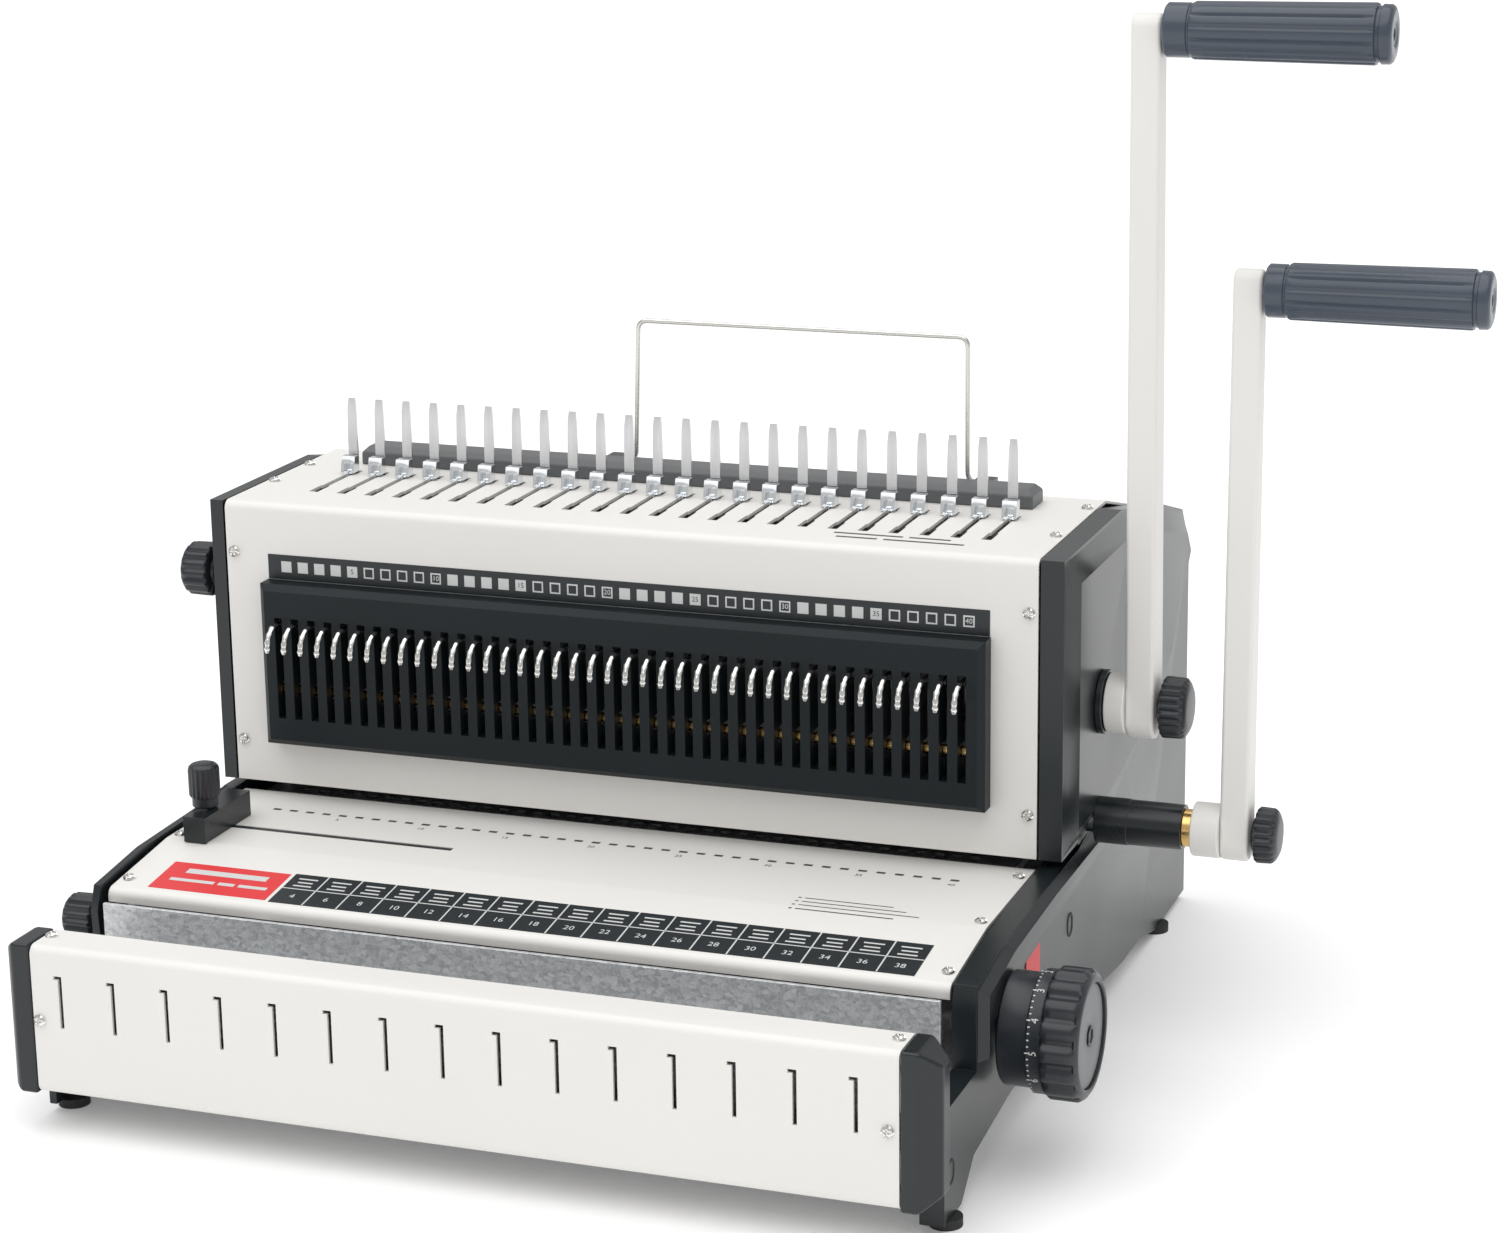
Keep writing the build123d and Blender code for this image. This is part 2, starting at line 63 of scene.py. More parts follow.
def at(x, y, z):
    """A place on the machine, from millimetres to the frame's metres."""
    return Vector((MIDDLE_X + x / 1000, FRONT_Y + y / 1000, z / 1000))


# %% [markdown]
# ## Finishes
# Each finish is a small node tree on Object coordinates. One helper starts a material and the others add
# a pattern, a range, a tint or a fine bump, because no real surface is perfectly even: powder coat
# has a soft orange peel, moulded plastic a fine grain, and steel a drawn or crystalline look.

# %% material helpers
def start_material(name, colour, roughness, metallic=0.0):
    """A Principled material with constant values set on the shader's own sockets."""
    material = bpy.data.materials.new(name)
    material.use_nodes = True
    shader = material.node_tree.nodes["Principled BSDF"]
    shader.inputs["Base Color"].default_value = (*colour, 1)
    shader.inputs["Roughness"].default_value = roughness
    shader.inputs["Metallic"].default_value = metallic
    return material, material.node_tree, shader


def pattern(tree, kind, scale, stretch=(1, 1, 1), **settings):
    """A texture node on Object coordinates; stretch turns round grains into drawn lines."""
    place = tree.nodes.new("ShaderNodeTexCoord")
    mapping = tree.nodes.new("ShaderNodeMapping")
    mapping.inputs["Scale"].default_value = stretch
    texture = tree.nodes.new(kind)
    texture.inputs["Scale"].default_value = scale
    for name, value in settings.items():
        texture.inputs[name.replace("_", " ").title()].default_value = value
    tree.links.new(place.outputs["Object"], mapping.inputs["Vector"])
    tree.links.new(mapping.outputs["Vector"], texture.inputs["Vector"])
    return texture


def spread(tree, source, low, high, target):
    """Maps a 0 to 1 value to a range and feeds a socket with it."""
    node = tree.nodes.new("ShaderNodeMapRange")
    node.inputs["To Min"].default_value = low
    node.inputs["To Max"].default_value = high
    tree.links.new(source, node.inputs["Value"])
    tree.links.new(node.outputs["Result"], target)


def tint(tree, source, low, high, target, stops=(0.3, 0.7)):
    """Maps a 0 to 1 value to a mix of two colours and feeds a colour socket with it."""
    ramp = tree.nodes.new("ShaderNodeValToRGB")
    for element, place, colour in zip(ramp.color_ramp.elements, stops, (low, high)):
        element.position = place
        element.color = (*colour, 1)
    tree.links.new(source, ramp.inputs["Fac"])
    tree.links.new(ramp.outputs["Color"], target)


def bump(tree, source, height, shader, strength=0.5):
    """A fine relief, in metres, from a texture."""
    node = tree.nodes.new("ShaderNodeBump")
    node.inputs["Distance"].default_value = height
    node.inputs["Strength"].default_value = strength
    tree.links.new(source, node.inputs["Height"])
    tree.links.new(node.outputs["Normal"], shader.inputs["Normal"])


# %% [markdown]
# The white sheet metal is powder coated. The powder melts into a smooth film with a faint orange peel,
# about a millimetre across, so its highlights are broad and very slightly uneven.

# %% powder coat and paint
COAT_ROUGHNESS, COAT_SMOOTHEST, COAT_ROUGHEST = 0.42, 0.36, 0.5
PEEL_SCALE, PEEL_DEPTH, DRIFT_SCALE = 900, 0.00006, 9


def powder_coat(name, colour, darker):
    """Coated sheet with a fine orange peel and a colour that drifts very slightly."""
    material, tree, shader = start_material(name, colour, COAT_ROUGHNESS)
    peel = pattern(tree, "ShaderNodeTexNoise", PEEL_SCALE, detail=2.0)
    drift = pattern(tree, "ShaderNodeTexNoise", DRIFT_SCALE, detail=3.0)
    tint(tree, drift.outputs["Fac"], darker, colour, shader.inputs["Base Color"])
    spread(tree, peel.outputs["Fac"], COAT_SMOOTHEST, COAT_ROUGHEST, shader.inputs["Roughness"])
    bump(tree, peel.outputs["Fac"], PEEL_DEPTH, shader, 0.25)
    return material


WHITE = powder_coat("white_powder_coat", (0.80, 0.785, 0.755), (0.785, 0.77, 0.74))
GREY_PAINT = powder_coat("grey_paint", (0.125, 0.132, 0.138), (0.11, 0.116, 0.12))
print("coated finishes", WHITE.name, GREY_PAINT.name)


# %% [markdown]
# The black parts are injection moulded. The big side mouldings have a fine spark-eroded grain and look
# satin. The knobs are a little darker, and the grips are smoother and bluish, with half gloss.

# %% moulded plastics
WEAR_SCALE = 14


def moulded(name, colour, worn, roughness, grain, depth):
    """Moulded plastic: a fine grain of some depth in metres, and broad, faint wear."""
    material, tree, shader = start_material(name, colour, roughness)
    fine = pattern(tree, "ShaderNodeTexNoise", grain, detail=4.0)
    broad = pattern(tree, "ShaderNodeTexNoise", WEAR_SCALE, detail=4.0)
    tint(tree, broad.outputs["Fac"], colour, worn, shader.inputs["Base Color"])
    spread(tree, broad.outputs["Fac"], roughness - 0.05, roughness + 0.06, shader.inputs["Roughness"])
    bump(tree, fine.outputs["Fac"], depth, shader, 0.35)
    return material


MOULDING = moulded("black_moulding", (0.009, 0.013, 0.015), (0.0115, 0.0155, 0.018),
                   0.28, 1400, 0.00006)
HOOK_BLACK = moulded("hook_panel_black", (0.008, 0.012, 0.014), (0.010, 0.0145, 0.017),
                     0.42, 1400, 0.00005)
HOOK_BLACK.node_tree.nodes["Principled BSDF"].inputs["Specular IOR Level"].default_value = 0.22
KNOB = moulded("knob_plastic", (0.013, 0.016, 0.021), (0.019, 0.023, 0.028), 0.33, 1600, 0.00005)
GRIP = moulded("grip_plastic", (0.047, 0.060, 0.082), (0.060, 0.075, 0.100), 0.26, 1800, 0.00004)
RUBBER = moulded("foot_rubber", (0.02, 0.02, 0.02), (0.03, 0.03, 0.03), 0.75, 900, 0.0001)
DIAL_FACE = moulded("dial_face_grey", (0.17, 0.175, 0.18), (0.19, 0.195, 0.2), 0.45, 1200, 0.00006)
print("moulded finishes", [m.name for m in (MOULDING, HOOK_BLACK, KNOB, GRIP, RUBBER, DIAL_FACE)])


# %% [markdown]
# Hot-dip galvanised sheet shows its zinc crystals. A Voronoi cell colour gives each crystal its own
# grey and its own roughness, and a finer noise mottles them.

# %% galvanised sheet
CRYSTAL_SCALE, MOTTLE_SCALE = 620, 900


def galvanised():
    """Zinc-coated sheet made of crystals with different greys."""
    material, tree, shader = start_material("galvanised_sheet", (0.5, 0.52, 0.54), 0.45, 0.75)
    crystals = pattern(tree, "ShaderNodeTexVoronoi", CRYSTAL_SCALE, stretch=(0.6, 1, 1))
    mottle = pattern(tree, "ShaderNodeTexNoise", MOTTLE_SCALE, detail=5.0)
    mix = tree.nodes.new("ShaderNodeMix")
    mix.data_type = "RGBA"
    mix.inputs["Factor"].default_value = 0.6
    tree.links.new(crystals.outputs["Color"], mix.inputs["A"])
    tree.links.new(mottle.outputs["Fac"], mix.inputs["B"])
    grey = tree.nodes.new("ShaderNodeRGBToBW")
    tree.links.new(mix.outputs["Result"], grey.inputs["Color"])
    tint(tree, grey.outputs["Val"], (0.50, 0.51, 0.52), (0.80, 0.81, 0.82), shader.inputs["Base Color"])
    spread(tree, grey.outputs["Val"], 0.34, 0.58, shader.inputs["Roughness"])
    bump(tree, mottle.outputs["Fac"], 0.00005, shader, 0.3)
    return material


GALVANISED = galvanised()
print("zinc finish", GALVANISED.name)


# %% [markdown]
# Bare steel is drawn or ground, so its scratches run one way. Stretching the noise along one axis
# gives those lines. Nickel and chrome plate are nearly mirrors; brass is the same idea in yellow.

# %% bright metals
def metal(name, colour, roughness, stretch=(1, 1, 1), scale=700, lines=0.12):
    """Bare or plated metal; lines is how far its roughness varies."""
    material, tree, shader = start_material(name, colour, roughness, 1.0)
    grain = pattern(tree, "ShaderNodeTexNoise", scale, stretch, detail=5.0)
    spread(tree, grain.outputs["Fac"], max(roughness - lines, 0.04), roughness + lines,
           shader.inputs["Roughness"])
    bump(tree, grain.outputs["Fac"], 0.00003, shader, 0.2)
    return material


STEEL = metal("ground_steel", (0.62, 0.62, 0.63), 0.3, (1, 1, 0.06))
BAR_STEEL = metal("drawn_steel", (0.5, 0.5, 0.51), 0.36, (0.05, 1, 1))
NICKEL = metal("nickel_plate", (0.78, 0.77, 0.75), 0.16, lines=0.06)
CHROME = metal("chrome_plate", (0.82, 0.84, 0.86), 0.1, lines=0.04)
ZINC_WIRE = metal("zinc_wire", (0.66, 0.65, 0.62), 0.28, (1, 1, 1), 900)
BRASS = metal("brass", (0.78, 0.52, 0.2), 0.24)
print("metals", [m.name for m in (STEEL, BAR_STEEL, NICKEL, CHROME, ZINC_WIRE, BRASS)])


# %% [markdown]
# The labels are printed film: even ink with a slight sheen. The ink is a colour of its own on thin
# raised shapes, so no image is needed.

# %% print finishes
def ink(name, colour, roughness=0.4):
    """Printed ink with a finely speckled sheen."""
    material, tree, shader = start_material(name, colour, roughness)
    speck = pattern(tree, "ShaderNodeTexNoise", 1500, detail=3.0)
    spread(tree, speck.outputs["Fac"], roughness - 0.05, roughness + 0.08, shader.inputs["Roughness"])
    return material


INK_BLACK = ink("label_black", (0.012, 0.017, 0.02), 0.38)
INK_WHITE = ink("label_white", (0.62, 0.63, 0.62), 0.5)
INK_RED = ink("label_red", (0.72, 0.035, 0.04), 0.42)
INK_GREY = ink("tick_grey", (0.045, 0.045, 0.045), 0.5)
print("inks", [m.name for m in (INK_BLACK, INK_WHITE, INK_RED, INK_GREY)])


# %% [markdown]
# ## From bmesh to a piece
# Every new piece goes through one helper, which gives it smooth shading with its sharp edges kept,
# a material, and the body that it moves with. Two more helpers add a plain block, or a whole shape,
# to a shape in progress.

# %% piece helper
def make_piece(name, mesh_data, material, body, sharp=32):
    """A finished object from a bmesh, riding on a body."""
    mesh = bpy.data.meshes.new(name)
    mesh_data.to_mesh(mesh)
    mesh_data.free()
    mesh.materials.append(material)
    mesh.shade_smooth()
    mesh.set_sharp_from_angle(angle=radians(sharp))
    piece = bpy.data.objects.new(name, mesh)
    scene.collection.objects.link(piece)
    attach(piece, body)
    return piece


def add_block(target, size, place):
    """Adds a block with millimetre sides, centred on a place, and returns its corners."""
    corners = bmesh.ops.create_cube(target, size=1)["verts"]
    bmesh.ops.scale(target, verts=corners, vec=[side / 1000 for side in size])
    bmesh.ops.translate(target, verts=corners, vec=place)
    return corners


def add_whole(target, made):
    """Moves everything in one bmesh into another."""
    carried = bpy.data.meshes.new("carried")
    made.to_mesh(carried)
    made.free()
    target.from_mesh(carried)
    bpy.data.meshes.remove(carried)


body_of_node = {node: body for body, nodes in frame["record"]["behaviour"]["bodies"].items()
                for node in nodes}


# %% [markdown]
# ## Sheet metal and mouldings
# The CAD solids already have the right shape, but a knife-sharp edge never catches light.
# A merged copy of each node gets a small bevel on its sharp edges only. The bevel is a live modifier,
# limited by angle, so round surfaces are left alone.

# %% soften the edges of the solid pieces
MERGE_REACH = 0.00002
FLAT_WITHIN, ROUND_ABOVE = radians(1.0), radians(35)


def soften(node, material, width, segments=3):
    """Replaces a CAD node with a merged copy whose sharp edges are rounded."""
    mesh_data = bmesh.new()
    mesh_data.from_mesh(frame["nodes"][node].data)
    bmesh.ops.remove_doubles(mesh_data, verts=mesh_data.verts, dist=MERGE_REACH)
    bmesh.ops.dissolve_limit(mesh_data, angle_limit=FLAT_WITHIN, verts=mesh_data.verts,
                             edges=mesh_data.edges)
    piece = make_piece(node + "_soft", mesh_data, material, body_of_node[node], 30)
    rounding = piece.modifiers.new("edge", "BEVEL")
    rounding.width = width / 1000
    rounding.segments = segments
    rounding.limit_method = "ANGLE"
    rounding.angle_limit = ROUND_ABOVE
    rounding.harden_normals = True
    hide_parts(node)
    return piece


SOFTENED = {
    "upper_cover": (WHITE, 0.35), "rear_cover": (WHITE, 0.35), "deck_plate": (WHITE, 0.35),
    "front_bar_cover": (WHITE, 0.3), "upper_arm": (WHITE, 1.0), "lower_arm": (WHITE, 1.0),
    "upper_hub": (WHITE, 0.7), "lower_hub": (WHITE, 0.7),
    "side_panel_left": (MOULDING, 0.9), "side_panel_right": (MOULDING, 0.9),
    "front_bar_cap_left": (MOULDING, 1.2), "front_bar_cap_right": (MOULDING, 1.2),
    "hook_panel": (HOOK_BLACK, 0.5), "edge_guide": (MOULDING, 1.0), "chip_tray": (MOULDING, 0.8),
    "stand_clips": (MOULDING, 0.6), "lower_shaft_sleeve": (MOULDING, 0.4),
    "upper_shaft_ring": (MOULDING, 0.6), "comb_back_rest": (GREY_PAINT, 0.8),
    "jaw_plate": (GALVANISED, 0.3), "front_bar_core": (GALVANISED, 0.5),
    "lower_shaft_bush": (BRASS, 0.4),
}
for node, (material, width) in SOFTENED.items():
    soften(node, material, width)
print("softened", len(SOFTENED), "pieces")


# %% [markdown]
# ## Hidden and plain pieces
# The rest of the solids keep their CAD shape and get a finish: dies, shafts, springs and plates that
# show only through gaps.

# %% finishes for the plain nodes
PLAIN = {
    "base_plate": GALVANISED, "side_plate_left": GALVANISED, "side_plate_right": GALVANISED,
    "channel_floor": GALVANISED, "jaw_push_rods": BAR_STEEL, "jaw_guides": BAR_STEEL,
    "lower_die": BAR_STEEL, "upper_die": BAR_STEEL, "punch_beam": BAR_STEEL, "punch_pins": STEEL,
    "beam_guide_pins": STEEL, "beam_springs": STEEL, "upper_shaft": STEEL, "lower_shaft": STEEL,
    "dial_shaft": STEEL, "margin_shaft": STEEL, "upper_grip_pin": STEEL, "lower_grip_pin": STEEL,
    "brass_rod": BRASS, "rubber_feet": RUBBER, "spacing_label": INK_BLACK,
    "size_table_label": INK_BLACK, "title_label": INK_RED, "dial_pointer_label": INK_RED,
}
for node, material in PLAIN.items():
    mesh = frame["nodes"][node].data
    mesh.materials.clear()
    mesh.materials.append(material)
print("plain", len(PLAIN), "nodes")


# %% [markdown]
# ## Turned and fluted pieces
# Knobs, grips and the dial are round, so their outline is drawn once as (length, radius) steps and
# spun about X. Flutes are then pressed into the rim by moving its points in and out as a cosine of
# the angle, which gives soft finger grooves without any cutting.

# %% spin helper
SEAM_REACH = 0.000005


def turned(centre, outline, steps=64):
    """A bmesh spun about X from (x, radius) millimetre steps; it starts and ends on the axis."""
    mesh_data = bmesh.new()
    verts = [mesh_data.verts.new(centre + Vector((x / 1000, 0, r / 1000))) for x, r in outline]
    edges = [mesh_data.edges.new(pair) for pair in zip(verts, verts[1:])]
    bmesh.ops.spin(mesh_data, geom=verts + edges, cent=centre, axis=(1, 0, 0), angle=2 * pi,
                   steps=steps, use_merge=True)
    bmesh.ops.remove_doubles(mesh_data, verts=mesh_data.verts, dist=SEAM_REACH)
    bmesh.ops.recalc_face_normals(mesh_data, faces=mesh_data.faces)
    return mesh_data


def press_flutes(mesh_data, centre, x0, x1, inner, flutes, depth, sharpness=1.0):
    """Presses flutes into the points outside an inner radius, between two lengths, in millimetres."""
    slack = 0.01
    for vert in mesh_data.verts:
        offset = vert.co - centre
        radius = hypot(offset.y, offset.z)
        if radius * 1000 > inner and x0 - slack <= offset.x * 1000 <= x1 + slack:
            wave = (0.5 - 0.5 * cos(flutes * atan2(offset.z, offset.y))) ** sharpness
            factor = 1 - depth / 1000 * wave / radius
            vert.co.y = centre.y + offset.y * factor
            vert.co.z = centre.z + offset.z * factor


# %% [markdown]
# The grips are moulded sleeves that spin on a pin. Each has a plain collar at the lever, a long
# barrel with shallow ribs for the hand, and a rounded end with a dimple.

# %% lever grips
GRIP_RIBS, GRIP_RIB_DEPTH, GRIP_STEPS = 14, 0.7, 14


def grip(node, collar):
    """A ribbed hand grip in the place of a CAD node, with a collar of some length."""
    low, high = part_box(node)
    length = (high.x - low.x) * 1000
    centre = Vector((low.x, (low.y + high.y) / 2, (low.z + high.z) / 2))
    full = (high.z - low.z) * 500 - 0.1
    slim = full - 1.4
    start, run = collar + 1.4, length - collar - 9.4
    outline = [(0, 5.1), (0, slim - 0.8), (0.8, slim), (collar - 1.0, slim),
               (collar - 0.6, slim - 0.5), (collar, slim - 0.5), (collar + 0.4, slim + 0.2),
               (start, slim + 0.7)]
    outline += [(start + run * i / GRIP_STEPS, full - 0.7 + 0.7 * i / GRIP_STEPS)
                for i in range(1, GRIP_STEPS + 1)]
    outline += [(length - 7.2, full - 0.3), (length - 6.8, full - 1.3), (length - 5.4, full - 1.3),
                (length - 5.0, full - 0.5), (length - 1.6, full - 0.6), (length - 0.6, full - 1.4),
                (length, full - 3.0), (length, 5.6), (length - 0.5, 4.8), (length - 0.5, 2.6),
                (length - 2.2, 2.2), (length - 2.4, 0)]
    mesh_data = turned(centre, outline, GRIP_RIBS * 12)
    press_flutes(mesh_data, centre, collar + 1.0, length - 7.5, slim, GRIP_RIBS, GRIP_RIB_DEPTH, 6.0)
    piece = make_piece(node + "_barrel", mesh_data, GRIP, body_of_node[node], 40)
    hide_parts(node)
    return piece


for name, collar in (("upper_grip", 11.0), ("lower_grip", 9.0)):
    made = grip(name, collar)
    print(made.name, len(made.data.polygons), "faces")


# %% [markdown]
# Each small knob is a fluted disc with a rounded rim and a slightly dished cap. The flutes are deep and
# close, as on a bought star knob.

# %% small knobs
KNOB_FLUTE_DEPTH = 1.1


def knob(node, flutes, depth, outwards=1):
    """A fluted knob in the place of a CAD node; outwards is the side its cap faces."""
    low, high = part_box(node)
    length = (high.x - low.x) * 1000
    start = low.x if outwards > 0 else high.x
    centre = Vector((start, (low.y + high.y) / 2, (low.z + high.z) / 2))
    rim = (high.z - low.z) * 500
    outline = [(0, 0), (0, rim * 0.55), (1.2, rim * 0.6), (1.6, rim - 1.0), (2.4, rim - 0.1)]
    outline += [(2.4 + (length - 5.6) * i / 5, rim - 0.05 * i) for i in range(1, 6)]
    outline += [(length - 2.4, rim - 0.7), (length - 1.4, rim - 1.9), (length - 0.7, rim - 3.2),
                (length - 0.2, rim - 4.4), (length, rim - 5.6), (length, 0)]
    mesh_data = turned(centre, [(outwards * x, r) for x, r in outline], flutes * 8)
    press_flutes(mesh_data, centre, -length, length, rim - 1.6, flutes, depth, 1.6)
    piece = make_piece(node + "_turned", mesh_data, KNOB, body_of_node[node], 40)
    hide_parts(node)
    return piece


for name, flutes, side in (("upper_knob", 22, 1), ("lower_knob", 20, 1),
                           ("dial_knob_left", 16, -1), ("margin_knob", 16, -1)):
    made = knob(name, flutes, KNOB_FLUTE_DEPTH, side)
    print(made.name, len(made.data.polygons), "faces")


# %% [markdown]
# ## Size dial
# The dial sets how far the jaw closes. From the panel outwards it has a plain drum, a ring with numbers,
# a grip with broad finger flutes, and a recessed grey face with a hexagonal socket.

# %% dial body and face
dial_low, dial_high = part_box("size_dial")
dial_centre = Vector((dial_low.x, (dial_low.y + dial_high.y) / 2, (dial_low.z + dial_high.z) / 2))
DIAL_RIM = (dial_high.z - dial_low.z) * 500
DIAL_FLUTES, DIAL_FLUTE_DEPTH = 16, 2.3
dial_outline = [(0, 0), (0, 23.2), (0.8, 24), (12.2, 24), (12.9, 24.4), (13.2, 25.6), (13.6, 26),
                (18.4, 26), (18.9, 26.2), (19.2, 27.0), (20.2, DIAL_RIM)]
dial_outline += [(20.2 + i * 2.3, DIAL_RIM) for i in range(1, 6)]
dial_outline += [(32.6, DIAL_RIM - 0.4), (33.6, DIAL_RIM - 1.3), (34.4, DIAL_RIM - 2.6), (35, 24.2),
                 (35, 22.8), (34.6, 22.3), (32.8, 22.2), (32.8, 0)]
dial = turned(dial_centre, dial_outline, DIAL_FLUTES * 12)
press_flutes(dial, dial_centre, 19.1, 34.0, 26.6, DIAL_FLUTES, DIAL_FLUTE_DEPTH, 1.8)
dial_piece = make_piece("size_dial_body", dial, KNOB, "size_dial", 40)
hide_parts("size_dial")

face_outline = [(32.9, 0), (32.9, 22.1), (33.5, 21.9), (33.7, 21.2), (33.7, 5.2), (33.3, 4.6),
                (33.1, 0)]
make_piece("size_dial_face", turned(dial_centre, face_outline, 72), DIAL_FACE, "size_dial",
           40)
socket_outline = [(33.72, 0), (33.72, 4.6), (34.3, 4.6), (34.3, 3.4), (33.8, 3.3), (33.8, 0)]
socket = turned(dial_centre, socket_outline, 6)
make_piece("size_dial_socket", socket, KNOB, "size_dial", 20)
print("dial rim radius", round(DIAL_RIM, 1), "mm")


# %% [markdown]
# ## Print
# Text and bars are drawn flat, and each point goes through a function that lays it on its surface.
# The print is then given the thickness of a film.

# %% print helpers
INK_THICK = 0.00003


def text_shape(words, size):
    """A flat bmesh of text centred on the origin, in millimetres across X and Y."""
    curve = bpy.data.curves.new("words", "FONT")
    curve.body = words
    curve.size = size
    curve.align_x = "CENTER"
    curve.align_y = "CENTER"
    curve.resolution_u = 3
    holder = bpy.data.objects.new("words", curve)
    mesh = bpy.data.meshes.new_from_object(holder)
    shape = bmesh.new()
    shape.from_mesh(mesh)
    bpy.data.objects.remove(holder)
    bpy.data.meshes.remove(mesh)
    bpy.data.curves.remove(curve)
    return shape


def add_shape(target, shape, move):
    """Adds a flat shape to a bmesh, each point moved by a function of its (x, y)."""
    made = {vert: target.verts.new(move(vert.co.x, vert.co.y)) for vert in shape.verts}
    for face in shape.faces:
        target.faces.new([made[vert] for vert in face.verts])
    shape.free()


def rectangle(target, x0, x1, y0, y1, move):
    """Adds one flat rectangle, its corners moved by a function of (x, y)."""
    corners = [target.verts.new(move(x, y)) for x, y in ((x0, y0), (x1, y0), (x1, y1), (x0, y1))]
    target.faces.new(corners)


def print_piece(name, mesh_data, ink_finish, body):
    """A piece of print, given the thickness of a film so that it is a closed shape."""
    bmesh.ops.remove_doubles(mesh_data, verts=mesh_data.verts[:], dist=1e-7)
    bmesh.ops.solidify(mesh_data, geom=mesh_data.faces[:], thickness=INK_THICK)
    bmesh.ops.recalc_face_normals(mesh_data, faces=mesh_data.faces[:])
    return make_piece(name, mesh_data, ink_finish, body, 60)


print("ink thickness", INK_THICK * 1000, "mm")


# %% [markdown]
# Numbers are printed round the dial's ring. Their points are wrapped on the ring by turning distance
# along the line of text into an angle about the shaft.

# %% dial numbers
RING_R, RING_X, RING_NUMBERS = 26.12, 16.5, 12
TICK_STEP, TICK_HALF, TICK_FOOT = 2.72, 0.28, 1.9
numbers = bmesh.new()
for index in range(RING_NUMBERS):
    middle = 2 * pi * index / RING_NUMBERS

    def wrap(x, y, middle=middle):
        angle = middle - x / RING_R
        return dial_centre + Vector((RING_X - y, -RING_R * sin(angle), RING_R * cos(angle))) / 1000

    add_shape(numbers, text_shape(str(index + 2), 4.4), wrap)
    for tick in range(5):
        reach = 1.6 if tick == 0 else 0.9
        rectangle(numbers, TICK_STEP * tick - TICK_HALF, TICK_STEP * tick + TICK_HALF,
                  TICK_FOOT, TICK_FOOT + reach, wrap)
print_piece("size_dial_numbers", numbers, INK_WHITE, "size_dial")
print("numbers on the ring:", RING_NUMBERS)


# %% [markdown]
# ## Guide knob
# The edge guide is locked by a plain upright knob with a knurled skirt. It is spun about Z, so the same
# outline idea is used with a turn at the end.

# %% edge guide knob
guide_low, guide_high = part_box("guide_knob")
GUIDE_TALL, GUIDE_FLUTES = 20.4, 18
guide_centre = Vector(((guide_low.x + guide_high.x) / 2, (guide_low.y + guide_high.y) / 2,
                       guide_high.z - GUIDE_TALL / 1000))
guide_outline = [(0, 0), (0, 5.4), (0.5, 5.9), (4.6, 5.9), (5.0, 6.7), (5.6, 7.15), (17.8, 7.2),
                 (19.0, 6.8), (19.9, 5.8), (GUIDE_TALL, 4.4), (GUIDE_TALL, 0)]
middle = Vector((0, 0, 0))
upright = turned(middle, guide_outline, GUIDE_FLUTES * 6)
press_flutes(upright, middle, 5.2, 18.2, 6.6, GUIDE_FLUTES, 0.5)
bmesh.ops.transform(upright, verts=upright.verts,
                    matrix=Matrix.Translation(guide_centre) @ Matrix.Rotation(-pi / 2, 4, "Y"))
guide_knob = make_piece("guide_knob_turned", upright, KNOB, "guide_knob", 40)
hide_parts("guide_knob")
print(guide_knob.name, len(guide_knob.data.polygons), "faces")


# %% [markdown]
# ## Comb fingers
# Twenty-four flat steel fingers hold a plastic comb open. Each is a thin springy blade, widest in the
# middle and slightly bowed. A narrow grid is shaped as the blade's front face, and solidify then
# gives all of them their thickness at once.

# %% comb fingers
COMB_PITCH, COMB_COUNT = 14.2875, 24
FINGER_Y, FINGER_FOOT, FINGER_THICK = 271.6, 0.233, 0.0011
TIP_FROM, TIP_DROP = 0.99, 0.35
comb_x = [(i - (COMB_COUNT - 1) / 2) * COMB_PITCH for i in range(COMB_COUNT)]
finger_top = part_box("comb_fingers")[1].z
fingers = bmesh.new()
for x in comb_x:
    blade = bmesh.ops.create_grid(fingers, x_segments=1, y_segments=8, size=0.5)["verts"]
    foot = at(x, FINGER_Y, 0)
    for vert in blade:
        along = vert.co.y + 0.5
        tip = TIP_DROP if along > TIP_FROM else 0
        half = 2.25 + 0.3 * sin(pi * along) - 0.25 * along - tip
        lean = 1.1 * (along - 0.45) ** 2 + tip
        vert.co = Vector((foot.x + vert.co.x * 2 * half / 1000, foot.y + lean / 1000,
                          FINGER_FOOT + along * (finger_top - FINGER_FOOT)))
bmesh.ops.solidify(fingers, geom=fingers.faces[:], thickness=FINGER_THICK)
bmesh.ops.recalc_face_normals(fingers, faces=fingers.faces)
add_block(fingers, (352, 7, 12), at(0, 272.5, 226))
finger_piece = make_piece("comb_fingers_steel", fingers, STEEL, "frame", 30)
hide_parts("comb_fingers")
print("fingers", len(comb_x))


# %% [markdown]
# In front of each finger stands a bright chrome hook that pulls the comb's rings open. It is a small
# saddle with two legs that straddle its slot, and it slides forwards with the lever. Each is a cube whose
# lower front is cut back by an inset face, pushed in to leave the two legs.

